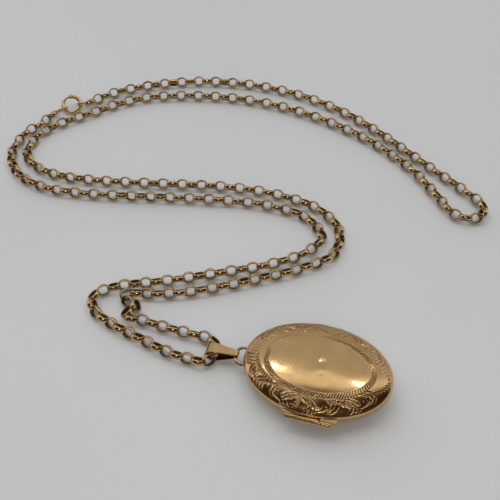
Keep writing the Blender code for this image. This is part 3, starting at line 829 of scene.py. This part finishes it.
def notch(obj):
    """Clears the hinge tube out of a cover's rim band."""
    co = np.empty(len(obj.data.vertices) * 3)
    obj.data.vertices.foreach_get("co", co)
    co = co.reshape(-1, 3) / MM
    dy = co[:, 1] - HINGE_Y
    dz = co[:, 2] - SEAM_Z
    r = np.hypot(dy, dz)
    hit = (r < NOTCH_R) & (np.abs(co[:, 0]) < NOTCH_REACH_X)
    room = np.sqrt(np.maximum(NOTCH_R ** 2 - dz ** 2, 0))
    co[:, 1] = np.where(hit & (dy > 0), HINGE_Y + room, co[:, 1])
    obj.data.vertices.foreach_set("co", (co * MM).ravel())
    obj.data.update()


# ------------ ring and bail
def shade(obj, rule):
    # Stores a painted-shade amount for each point, worked out by a rule from the point's place.
    store(obj, "painted_shade", [min(1.0, max(0.0, rule(v.co))) for v in obj.data.vertices])


def hanging_ring(worn):
    cx, cy = RING_X + RING_CORNER, RING_HALF - RING_CORNER
    pts = [(-13.2, RING_HALF, RING_Z), (-13.9, RING_HALF, RING_Z), (-14.4, RING_HALF, RING_Z)]
    for k in range(17):
        t = math.radians(90 + 90 * k / 16)
        pts.append((cx + math.cos(t) * RING_CORNER, cy + math.sin(t) * RING_CORNER, RING_Z))
    pts += [(RING_X, cy * 0.5, RING_Z), (RING_X, 0, RING_Z)]
    pts += [(p[0], -p[1], p[2]) for p in reversed(pts[:-1])]
    obj = wire("hanging_ring_skin", pts, RING_SKIN_WIRE, 24, dome=False)
    # Painted shade: the lower half of the wire is coloured darker.
    shade(obj, lambda co: 1.0 - 1.25 * (co.z / MM - RING_Z) / RING_WIRE)
    stand_in(obj, worn, "hanging_ring", "back_half")


def belt(centre_a, radius_a, centre_b, radius_b, steps_a, steps_b):
    dx, dz = centre_a[0] - centre_b[0], centre_a[1] - centre_b[1]
    toward = math.atan2(dz, dx)
    lean = math.acos((radius_b - radius_a) / math.hypot(dx, dz))
    out = []
    for k in range(steps_a + 1):
        t = toward - lean + 2 * lean * k / steps_a
        out.append((centre_a[0] + radius_a * math.cos(t), centre_a[1] + radius_a * math.sin(t)))
    p = out[-1]
    tail = []
    for k in range(steps_b + 1):
        t = toward + lean + (2 * math.pi - 2 * lean) * k / steps_b
        tail.append((centre_b[0] + radius_b * math.cos(t), centre_b[1] + radius_b * math.sin(t)))
    q = tail[0]
    for k in range(1, 8):
        out.append((p[0] + (q[0] - p[0]) * k / 8, p[1] + (q[1] - p[1]) * k / 8))
    out += tail
    p, q = out[-1], out[0]
    for k in range(1, 8):
        out.append((p[0] + (q[0] - p[0]) * k / 8, p[1] + (q[1] - p[1]) * k / 8))
    return np.array(out)


def bail(worn):
    pin = (RING_X, RING_Z)
    outline = {}
    for off in (0, 0.03, 0.09, BAIL_THICK - 0.06, BAIL_THICK):
        outline[off] = belt(BAIL_LOOP, BAIL_LOOP_R + BAIL_THICK - off, pin,
                            BAIL_HOLE + BAIL_THICK - off, 64, 28)
    x_wide = BAIL_LOOP[0] - BAIL_LOOP_R - BAIL_THICK
    x_narrow = RING_X + BAIL_HOLE + BAIL_THICK

    def half(x):
        return (BAIL_WIDE + (BAIL_NARROW - BAIL_WIDE) * (x - x_wide) / (x_narrow - x_wide)) / 2

    section = [(0, 0.0), (0, 0.85), (0.0, 0.93), (0.03, 0.975), (0.09, 1.0), (BAIL_THICK - 0.06, 1.0),
               (BAIL_THICK, 0.95), (BAIL_THICK, 0.0)]
    loop = section + [(off, -f) for off, f in reversed(section[1:-1])]
    rows = []
    for off, f in loop:
        pts = outline[off]
        y = np.array([half(x) for x in pts[:, 0]]) * f + BAIL_SKEW * (pts[:, 0] - RING_X)
        rows.append(np.c_[pts[:, 0], y, pts[:, 1]])
    count = len(rows[0])
    verts = np.concatenate(rows) * MM
    obj = mesh_piece("bail_skin", verts, grid_array(len(rows), count, True))
    # Painted shade: the inner face of the loop is coloured dark, fading in toward the ring end.
    inner = np.repeat([1.0 if off > 0.2 else 0.0 for off, f in loop], count)
    inner *= np.clip((verts[:, 0] / MM - BAIL_DARK_FROM_X) / BAIL_DARK_OVER, 0, 1)
    store(obj, "painted_shade", inner)
    stand_in(obj, worn, "bail", "bail")


# ------------ chain
def link_template():
    """A belcher link round Z: flat inside, domed outside. Returns verts, faces and a painted-shade amount for
    each point.
    """
    half = LINK_BAND / 2
    rise = LINK_OUT - LINK_IN
    # The third number of each profile point is painted shade: full on the flat inside where links meet,
    # fading to none on the domed outside.
    profile = [(0.0, -half * 0.78, 1.0), (0.0, 0.0, 1.0), (0.0, half * 0.78, 1.0),
               (0.04, half * 0.95, 0.9), (rise * 0.36, half, 0.5), (rise * 0.72, half * 0.76, 0.2),
               (rise * 0.94, half * 0.42, 0.0), (rise, 0.0, 0.0), (rise * 0.94, -half * 0.42, 0.0),
               (rise * 0.72, -half * 0.76, 0.2), (rise * 0.36, -half, 0.5), (0.04, -half * 0.95, 0.9)]
    verts, painted_shade = [], []
    for k in range(LINK_SIDES):
        t = 2 * math.pi * k / LINK_SIDES
        for u, w, dark in profile:
            verts.append(((LINK_IN + u) * math.cos(t), (LINK_IN - LINK_OVAL + u) * math.sin(t), w))
            painted_shade.append(dark)
    n = len(profile)
    faces = []
    for k in range(LINK_SIDES):
        for i in range(n):
            j = (i + 1) % n
            m = (k + 1) % LINK_SIDES
            faces.append((k * n + i, m * n + i, m * n + j, k * n + j))
    return np.array(verts), np.array(faces), np.array(painted_shade)


def chain_path():
    near = [(x, y, CHAIN_Z) for x, y in reversed(NEAR_ROUTE)]
    far = [(x, y, CHAIN_Z) for x, y in reversed(FAR_ROUTE)]
    points = near[:-1] + BAIL_ROUTE + far[1:]
    return by_length(catmull(points, 20), 0.1)


def build_chain(metal):
    path = chain_path()
    total = length_of(path)
    count = int(round(total / LINK_PITCH)) + 1
    run = np.r_[0, np.cumsum(np.linalg.norm(np.diff(path, axis=0), axis=1))]
    at = np.linspace(0, total, count)
    base, faces, painted_shade = link_template()
    rng = random.Random(5)
    groups = {"near": [], "bail": [], "far": []}
    bail_run = float(run[np.argmin(np.linalg.norm(path - np.array(BAIL_MIDDLE), axis=1))])
    twist = 0.0
    for k in range(count):
        s = at[k]
        centre = np.array([np.interp(s, run, path[:, i]) for i in range(3)])
        a = np.array([np.interp(s - LINK_SIGHT, run, path[:, i]) for i in range(3)])
        b = np.array([np.interp(s + LINK_SIGHT, run, path[:, i]) for i in range(3)])
        tangent = (b - a) / np.linalg.norm(b - a)
        side = np.cross([0, 0, 1.0], tangent)
        side /= np.linalg.norm(side)
        up = np.cross(tangent, side)
        twist = twist * TWIST_KEPT + rng.gauss(0, TWIST_STEP_DEG)
        lean = LINK_LEAN_DEG if k % 2 == 0 else -LINK_LEAN_DEG
        roll = lean + twist + rng.gauss(0, LOOSE_DEG)
        yaw = rng.gauss(0, LOOSE_DEG)
        c, sn = math.cos(math.radians(roll)), math.sin(math.radians(roll))
        y_axis = side * c + up * sn
        z_axis = -side * sn + up * c
        cy, sy = math.cos(math.radians(yaw)), math.sin(math.radians(yaw))
        x_axis = tangent * cy + y_axis * sy
        y_axis = -tangent * sy + y_axis * cy
        basis = np.stack([x_axis, y_axis, z_axis])
        verts = base @ basis + centre
        low = verts[:, 2].min()
        verts[:, 2] += max(TABLE_GAP - low, -MOST_DROP)
        key = "bail" if abs(s - bail_run) < BAIL_REACH else ("near" if s < bail_run else "far")
        groups[key].append(verts)
    made = {}
    for key, items in groups.items():
        n = len(base)
        verts = np.concatenate(items)
        quads = np.concatenate([faces + n * i for i in range(len(items))])
        dark = np.tile(painted_shade, len(items))
        obj = fast_piece("chain_links_" + key, verts * MM, quads, {"painted_shade": dark})
        made[key] = paint(obj, metal)
    low, high = bail_run - BAIL_REACH, bail_run + BAIL_REACH
    paths = {"near": path[run <= low][::-1], "bail": path[(run > low) & (run < high)],
             "far": path[run >= high]}
    return made, {k: by_length(v, 1.2) for k, v in paths.items()}


# ------------ clasp
def arc(radius, low, high, steps):
    t = np.radians(np.linspace(low, high, steps + 1))
    return np.stack([radius * np.cos(t), radius * np.sin(t), np.zeros_like(t)], 1)


def clasp_matrix():
    tilt = Matrix.Rotation(math.radians(CLASP_TILT_DEG), 4, Vector(CLASP_TILT_AXIS))
    return Matrix.Translation(mm(*CLASP_CENTRE)) @ tilt


def place(obj, matrix):
    obj.data.transform(matrix)
    obj.data.update()


def clasp_body():
    """Hollow tube with a gap, rounded tube mouths, and a slot for the thumb pip."""
    low, high = GAP_DEG[1], GAP_DEG[0] + 360
    steps, sides = 150, 32
    t = np.radians(np.linspace(low, high, steps + 1))
    phi = np.linspace(0, 2 * np.pi, sides, endpoint=False)
    rows = []
    order = [(k, CLASP_TUBE) for k in range(steps + 1)] + [(k, CLASP_BORE) for k in range(steps, -1, -1)]
    for k, r in order:
        edge = min(k, steps - k)
        if r == CLASP_TUBE and edge == 0:
            r = CLASP_TUBE - 0.06
        u = CLASP_R + r * np.cos(phi)
        w = r * np.sin(phi)
        rows.append(np.stack([u * math.cos(t[k]), u * math.sin(t[k]), w], 1))
    verts = np.concatenate(rows) * MM
    body = mesh_piece("bolt_ring_skin", verts, grid_array(len(rows), sides, True), smooth=False)
    s_low, s_high = PIP_DEG - TRAVEL_DEG - 7, PIP_DEG + 7
    inner = arc(CLASP_R + 0.05, s_low, s_high, 24)
    outer = arc(CLASP_R + 1.2, s_low, s_high, 24)
    outline = [(p[0], p[1]) for p in list(inner) + list(outer[::-1])]
    apply_boolean(body, slab("slot_tool", outline, -0.18, 0.18), "DIFFERENCE")
    soften(body)
    return body


def clasp(metal, chain_metal):
    where = clasp_matrix()
    body = clasp_body()
    place(body, where)
    stand_in(body, metal, "bolt_ring_body", "back_half")
    rod = wire("trigger_skin", arc(CLASP_R, ROD_DEG[0], ROD_DEG[1], 60), CLASP_ROD, 24)
    place(rod, where)
    stand_in(rod, metal, "bolt_ring_trigger", "trigger")
    a = math.radians(PIP_DEG)
    reach = np.linspace(CLASP_R + CLASP_ROD, CLASP_R + CLASP_TUBE + PIP_STANDS_OUT, 6)
    pip = wire("thumb_pip_skin", [(r * math.cos(a), r * math.sin(a), 0) for r in reach], PIP_WIRE, 20)
    place(pip, where)
    stand_in(pip, metal, "bolt_ring_thumb_pip", "trigger")
    low, high = SPRING_DEG
    steps = SPRING_TURNS * 14
    pts = []
    for k in range(steps + 1):
        f = k / steps
        t = math.radians(low + (high - low) * f)
        c = 2 * math.pi * SPRING_TURNS * f
        r = CLASP_R + SPRING_COIL_R * math.cos(c)
        pts.append((r * math.cos(t), r * math.sin(t), SPRING_COIL_R * math.sin(c)))
    spring = wire("clasp_spring_skin", pts, SPRING_WIRE, 8)
    place(spring, where)
    stand_in(spring, metal, "bolt_ring_spring", "back_half")
    made = [body, rod, pip, spring]
    for name, node, centre, radius, thick, (heading, lean) in (
            ("end_ring_skin", "end_ring", END_RING_AT, END_RING_R, END_RING_WIRE, END_RING_TURN),
            ("jump_ring_skin", "clasp_jump_ring", JUMP_RING_AT, JUMP_RING_R, JUMP_RING_WIRE,
             JUMP_RING_TURN)):
        ring = wire(name, arc(radius, 0, 360, 72)[:-1], thick, 20, closed=True)
        turn = Matrix.Rotation(math.radians(heading), 4, "Z")
        roll = Matrix.Rotation(math.radians(lean), 4, "X")
        place(ring, Matrix.Translation(mm(*centre)) @ turn @ roll)
        stand_in(ring, chain_metal, node, "back_half")
        made.append(ring)
    return made


# ------------ studio
def area(name, place_at, aim, size, power, colour, in_metal=True):
    data = bpy.data.lights.new(name, "AREA")
    data.shape = "RECTANGLE"
    data.size = size
    data.size_y = size
    data.energy = power
    data.color = colour
    lamp = bpy.data.objects.new(name, data)
    bpy.context.scene.collection.objects.link(lamp)
    lamp.location = place_at
    lamp.visible_glossy = in_metal
    lamp.rotation_euler = (Vector(aim) - Vector(place_at)).to_track_quat("-Z", "Y").to_euler()


def studio():
    surface = table_surface("table_surface")
    bpy.ops.mesh.primitive_grid_add(size=3.0, x_subdivisions=8, y_subdivisions=8,
                                    location=(-0.03, 0.035, 0))
    floor = bpy.context.object
    floor.name = "table"
    floor.data.materials.append(surface)
    world = bpy.data.worlds.new("studio")
    bpy.context.scene.world = world
    world.use_nodes = True
    tree = world.node_tree
    back = tree.nodes["Background"]
    coords = tree.nodes.new("ShaderNodeTexCoord").outputs["Generated"]
    across = tree.nodes.new("ShaderNodeVectorMath")
    across.operation = "DOT_PRODUCT"
    tree.links.new(coords, across.inputs[0])
    across.inputs[1].default_value = (-0.15, 0.475, 0.0)
    back_way = math_node(tree, "ADD", across.outputs["Value"], 0.5)
    colour = ramp(tree, back_way, [(0.0, (0.07, 0.05, 0.035, 1)), (0.40, (0.035, 0.02, 0.012, 1)),
                                   (0.54, (0.06, 0.04, 0.025, 1)), (0.585, (1.0, 0.98, 0.95, 1)),
                                   (0.66, (1.0, 0.99, 0.97, 1)), (0.70, (0.52, 0.52, 0.51, 1)),
                                   (0.88, (0.50, 0.50, 0.50, 1)), (1.0, (0.36, 0.36, 0.37, 1))])
    tree.links.new(colour, back.inputs["Color"])
    back.inputs["Strength"].default_value = 1.0
    area("key", (-0.60, 0.90, 1.10), (-0.02, 0.03, 0), 2.0, 10.4, (0.92, 0.96, 1.0), in_metal=False)
    area("fill", (0.50, -0.70, 0.90), (-0.02, 0.03, 0), 1.6, 5.2, (1.0, 0.95, 0.91), in_metal=False)
    area("glint_front", (0.02, -0.33, 0.50), (-0.03, 0.03, 0), 0.09, 0.24, (1.0, 0.95, 0.86))
    area("glint_left", (-0.204, 0.175, 0.544), (-0.007, -0.002, 0.006), 0.03, 0.07, (1.0, 0.98, 0.95))
    area("glint_right", (0.101, 0.186, 0.568), (0.008, -0.002, 0.006), 0.03, 0.08, (1.0, 0.98, 0.95))
    view = bpy.context.scene.view_settings
    view.view_transform = "Standard"


def main():
    camera()
    studio()
    # Where a point attribute and gain are given, the colour is darker and rougher there: painted shade, on
    # the locket partly dirt in the cuts.
    locket = gold("locket_metal", (0.73, 0.49, 0.235, 1), (0.65, 0.42, 0.19, 1), (0.15, 0.07, 0.025, 1),
                  0.10, 0.10, 0.07, "cut", 0.85)
    plain = gold("plain_metal", (0.70, 0.49, 0.24, 1), (0.58, 0.39, 0.18, 1), (0.20, 0.11, 0.05, 1),
                 0.12, 0.12, 0.06)
    chain_metal = gold("chain_metal", (0.86, 0.62, 0.31, 1), (0.66, 0.46, 0.22, 1),
                       (0.07, 0.035, 0.014, 1), 0.12, 0.16, 0.10, "painted_shade", 0.78)
    clasp_metal = gold("clasp_metal", (0.90, 0.68, 0.38, 1), (0.78, 0.56, 0.29, 1), (0.20, 0.11, 0.05, 1),
                       0.28, 0.12, 0.06)
    worn = gold("bail_metal", (0.70, 0.48, 0.25, 1), (0.58, 0.38, 0.19, 1), (0.06, 0.03, 0.012, 1),
                0.12, 0.12, 0.06, "painted_shade", 1.0)
    clear = clear_plastic("clear_window")

    eng = draw_border()
    front = front_cover(eng)
    notch(front)
    stand_in(front, locket, "front_cover", "front_half")
    lining = front_lining()
    notch(lining)
    stand_in(lining, plain, "front_cover", "front_half")
    back = back_cover()
    notch(back)
    stand_in(back, plain, "back_cover", "back_half")
    inside_pieces(plain, clear)
    hinge(plain)
    hanging_ring(worn)
    bail(worn)
    clasp_pieces = clasp(clasp_metal, chain_metal)

    links, paths = build_chain(chain_metal)
    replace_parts(links["near"], "chain_run_near")
    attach(links["near"], "back_half")
    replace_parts(links["far"], "chain_run_far")
    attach(links["far"], "back_half")
    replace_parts(links["bail"], "chain_at_bail")
    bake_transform(links["bail"])
    for key in paths:
        print("chain", key, round(length_of(paths[key]), 1), "mm")


main()
